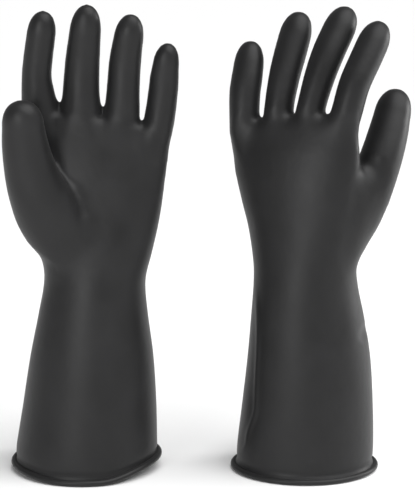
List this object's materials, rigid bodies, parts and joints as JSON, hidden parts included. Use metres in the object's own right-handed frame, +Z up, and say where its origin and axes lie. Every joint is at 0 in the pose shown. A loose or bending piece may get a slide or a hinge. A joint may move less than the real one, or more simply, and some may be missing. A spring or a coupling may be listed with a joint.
{
  "type": "rubber gauntlet gloves",
  "caption": "Pair of heavy matt black rubber gauntlet gloves with hand-shaped fingers and long sleeves, standing upright on rolled cuffs.",
  "frame": {"origin": "on the floor, at the bottom centre of the pair's box", "axes": "+Z up along the gloves, +X across the pair from glove_1 to glove_2, +Y away from the side that glove_1 turns its palm to"},
  "size_m": [0.3017, 0.1128, 0.3558],
  "materials": {
    "black_rubber": "matt, slightly silky, moulded"
  },
  "bodies": {
    "glove_1_sleeve": {"glove_1_sleeve": "black_rubber", "glove_1_cuff_bead": "black_rubber"},
    "glove_1_palm": {"glove_1_palm": "black_rubber"},
    "glove_1_thumb_base": {"glove_1_thumb_base": "black_rubber"},
    "glove_1_thumb_tip": {"glove_1_thumb_tip": "black_rubber"},
    "glove_1_index_base": {"glove_1_index_base": "black_rubber"},
    "glove_1_index_tip": {"glove_1_index_tip": "black_rubber"},
    "glove_1_middle_base": {"glove_1_middle_base": "black_rubber"},
    "glove_1_middle_tip": {"glove_1_middle_tip": "black_rubber"},
    "glove_1_ring_base": {"glove_1_ring_base": "black_rubber"},
    "glove_1_ring_tip": {"glove_1_ring_tip": "black_rubber"},
    "glove_1_little_base": {"glove_1_little_base": "black_rubber"},
    "glove_1_little_tip": {"glove_1_little_tip": "black_rubber"},
    "glove_2_sleeve": {"glove_2_sleeve": "black_rubber", "glove_2_cuff_bead": "black_rubber"},
    "glove_2_palm": {"glove_2_palm": "black_rubber"},
    "glove_2_thumb_base": {"glove_2_thumb_base": "black_rubber"},
    "glove_2_thumb_tip": {"glove_2_thumb_tip": "black_rubber"},
    "glove_2_index_base": {"glove_2_index_base": "black_rubber"},
    "glove_2_index_tip": {"glove_2_index_tip": "black_rubber"},
    "glove_2_middle_base": {"glove_2_middle_base": "black_rubber"},
    "glove_2_middle_tip": {"glove_2_middle_tip": "black_rubber"},
    "glove_2_ring_base": {"glove_2_ring_base": "black_rubber"},
    "glove_2_ring_tip": {"glove_2_ring_tip": "black_rubber"},
    "glove_2_little_base": {"glove_2_little_base": "black_rubber"},
    "glove_2_little_tip": {"glove_2_little_tip": "black_rubber"}
  },
  "joints": [
    {"name": "glove_1_wrist_flex", "type": "hinge", "parent": "glove_1_sleeve", "child": "glove_1_palm", "pos_m": [-0.0876, -0.0325, 0.149], "axis": [1, 0, 0], "range_deg": [0, 35], "stiffness_Nm_per_rad": 0.5},
    {"name": "glove_1_thumb_base_flex", "type": "hinge", "parent": "glove_1_palm", "child": "glove_1_thumb_base", "pos_m": [-0.11679, -0.03947, 0.23725], "axis": [0.424, 0.848, 0.318], "range_deg": [0, 25], "stiffness_Nm_per_rad": 0.06},
    {"name": "glove_1_thumb_tip_flex", "type": "hinge", "parent": "glove_1_thumb_base", "child": "glove_1_thumb_tip", "pos_m": [-0.12007, -0.04542, 0.25744], "axis": [0.4263, 0.8527, 0.3019], "range_deg": [0, 40], "stiffness_Nm_per_rad": 0.04},
    {"name": "glove_1_index_base_flex", "type": "hinge", "parent": "glove_1_palm", "child": "glove_1_index_base", "pos_m": [-0.12728, -0.01194, 0.28081], "axis": [0.9999, 0, 0.0167], "range_deg": [0, 50], "stiffness_Nm_per_rad": 0.06},
    {"name": "glove_1_index_tip_flex", "type": "hinge", "parent": "glove_1_index_base", "child": "glove_1_index_tip", "pos_m": [-0.12794, -0.01437, 0.3103], "axis": [0.9965, 0, -0.083], "range_deg": [0, 60], "stiffness_Nm_per_rad": 0.04},
    {"name": "glove_1_middle_base_flex", "type": "hinge", "parent": "glove_1_palm", "child": "glove_1_middle_base", "pos_m": [-0.09563, -0.01414, 0.27968], "axis": [0.9997, 0, -0.025], "range_deg": [0, 50], "stiffness_Nm_per_rad": 0.06},
    {"name": "glove_1_middle_tip_flex", "type": "hinge", "parent": "glove_1_middle_base", "child": "glove_1_middle_tip", "pos_m": [-0.09497, -0.01605, 0.31103], "axis": [0.9965, 0, -0.0841], "range_deg": [0, 60], "stiffness_Nm_per_rad": 0.04},
    {"name": "glove_1_ring_base_flex", "type": "hinge", "parent": "glove_1_palm", "child": "glove_1_ring_base", "pos_m": [-0.06557, -0.01333, 0.27967], "axis": [0.9984, 0, -0.0566], "range_deg": [0, 50], "stiffness_Nm_per_rad": 0.06},
    {"name": "glove_1_ring_tip_flex", "type": "hinge", "parent": "glove_1_ring_base", "child": "glove_1_ring_tip", "pos_m": [-0.06401, -0.01486, 0.30919], "axis": [0.9934, 0, -0.1144], "range_deg": [0, 60], "stiffness_Nm_per_rad": 0.04},
    {"name": "glove_1_little_base_flex", "type": "hinge", "parent": "glove_1_palm", "child": "glove_1_little_base", "pos_m": [-0.03843, -0.01115, 0.271], "axis": [0.992, 0, -0.1263], "range_deg": [0, 50], "stiffness_Nm_per_rad": 0.06},
    {"name": "glove_1_little_tip_flex", "type": "hinge", "parent": "glove_1_little_base", "child": "glove_1_little_tip", "pos_m": [-0.03567, -0.01271, 0.29264], "axis": [0.9921, 0, -0.1251], "range_deg": [0, 60], "stiffness_Nm_per_rad": 0.04},
    {"name": "glove_2_apart", "type": "slide", "parent": "glove_1_sleeve", "child": "glove_2_sleeve", "axis": [1, 0, 0], "range_m": [0, 0.3]},
    {"name": "glove_2_wrist_flex", "type": "hinge", "parent": "glove_2_sleeve", "child": "glove_2_palm", "pos_m": [0.08571, 0.03144, 0.149], "axis": [-0.908, 0.4191, 0], "range_deg": [0, 35], "stiffness_Nm_per_rad": 0.5},
    {"name": "glove_2_thumb_base_flex", "type": "hinge", "parent": "glove_2_palm", "child": "glove_2_thumb_base", "pos_m": [0.12006, 0.01424, 0.23913], "axis": [-0.6164, -0.7112, 0.3381], "range_deg": [0, 20], "stiffness_Nm_per_rad": 0.06},
    {"name": "glove_2_thumb_tip_flex", "type": "hinge", "parent": "glove_2_thumb_base", "child": "glove_2_thumb_tip", "pos_m": [0.12412, 0.01982, 0.25823], "axis": [-0.6194, -0.7147, 0.325], "range_deg": [0, 30], "stiffness_Nm_per_rad": 0.04},
    {"name": "glove_2_index_base_flex", "type": "hinge", "parent": "glove_2_palm", "child": "glove_2_index_base", "pos_m": [0.10417, -0.00366, 0.27656], "axis": [-0.8884, 0.4101, 0.2062], "range_deg": [0, 30], "stiffness_Nm_per_rad": 0.06},
    {"name": "glove_2_index_tip_flex", "type": "hinge", "parent": "glove_2_index_base", "child": "glove_2_index_tip", "pos_m": [0.11323, 0.00242, 0.30422], "axis": [-0.8824, 0.4073, 0.2355], "range_deg": [0, 30], "stiffness_Nm_per_rad": 0.04},
    {"name": "glove_2_middle_base_flex", "type": "hinge", "parent": "glove_2_palm", "child": "glove_2_middle_base", "pos_m": [0.07955, 0.00521, 0.27778], "axis": [-0.9015, 0.4161, 0.1191], "range_deg": [0, 30], "stiffness_Nm_per_rad": 0.06},
    {"name": "glove_2_middle_tip_flex", "type": "hinge", "parent": "glove_2_middle_base", "child": "glove_2_middle_tip", "pos_m": [0.08641, 0.01286, 0.30476], "axis": [-0.8947, 0.4129, 0.1702], "range_deg": [0, 30], "stiffness_Nm_per_rad": 0.04},
    {"name": "glove_2_ring_base_flex", "type": "hinge", "parent": "glove_2_palm", "child": "glove_2_ring_base", "pos_m": [0.05525, 0.01615, 0.27807], "axis": [-0.9072, 0.4187, 0.0414], "range_deg": [0, 30], "stiffness_Nm_per_rad": 0.06},
    {"name": "glove_2_ring_tip_flex", "type": "hinge", "parent": "glove_2_ring_base", "child": "glove_2_ring_tip", "pos_m": [0.05923, 0.02262, 0.30406], "axis": [-0.9046, 0.4175, 0.0854], "range_deg": [0, 30], "stiffness_Nm_per_rad": 0.04},
    {"name": "glove_2_little_base_flex", "type": "hinge", "parent": "glove_2_palm", "child": "glove_2_little_base", "pos_m": [0.03032, 0.02635, 0.2722], "axis": [-0.9056, 0.4179, -0.0727], "range_deg": [0, 30], "stiffness_Nm_per_rad": 0.06},
    {"name": "glove_2_little_tip_flex", "type": "hinge", "parent": "glove_2_little_base", "child": "glove_2_little_tip", "pos_m": [0.03026, 0.03032, 0.294], "axis": [-0.9076, 0.4189, -0.0296], "range_deg": [0, 30], "stiffness_Nm_per_rad": 0.04}
  ]
}
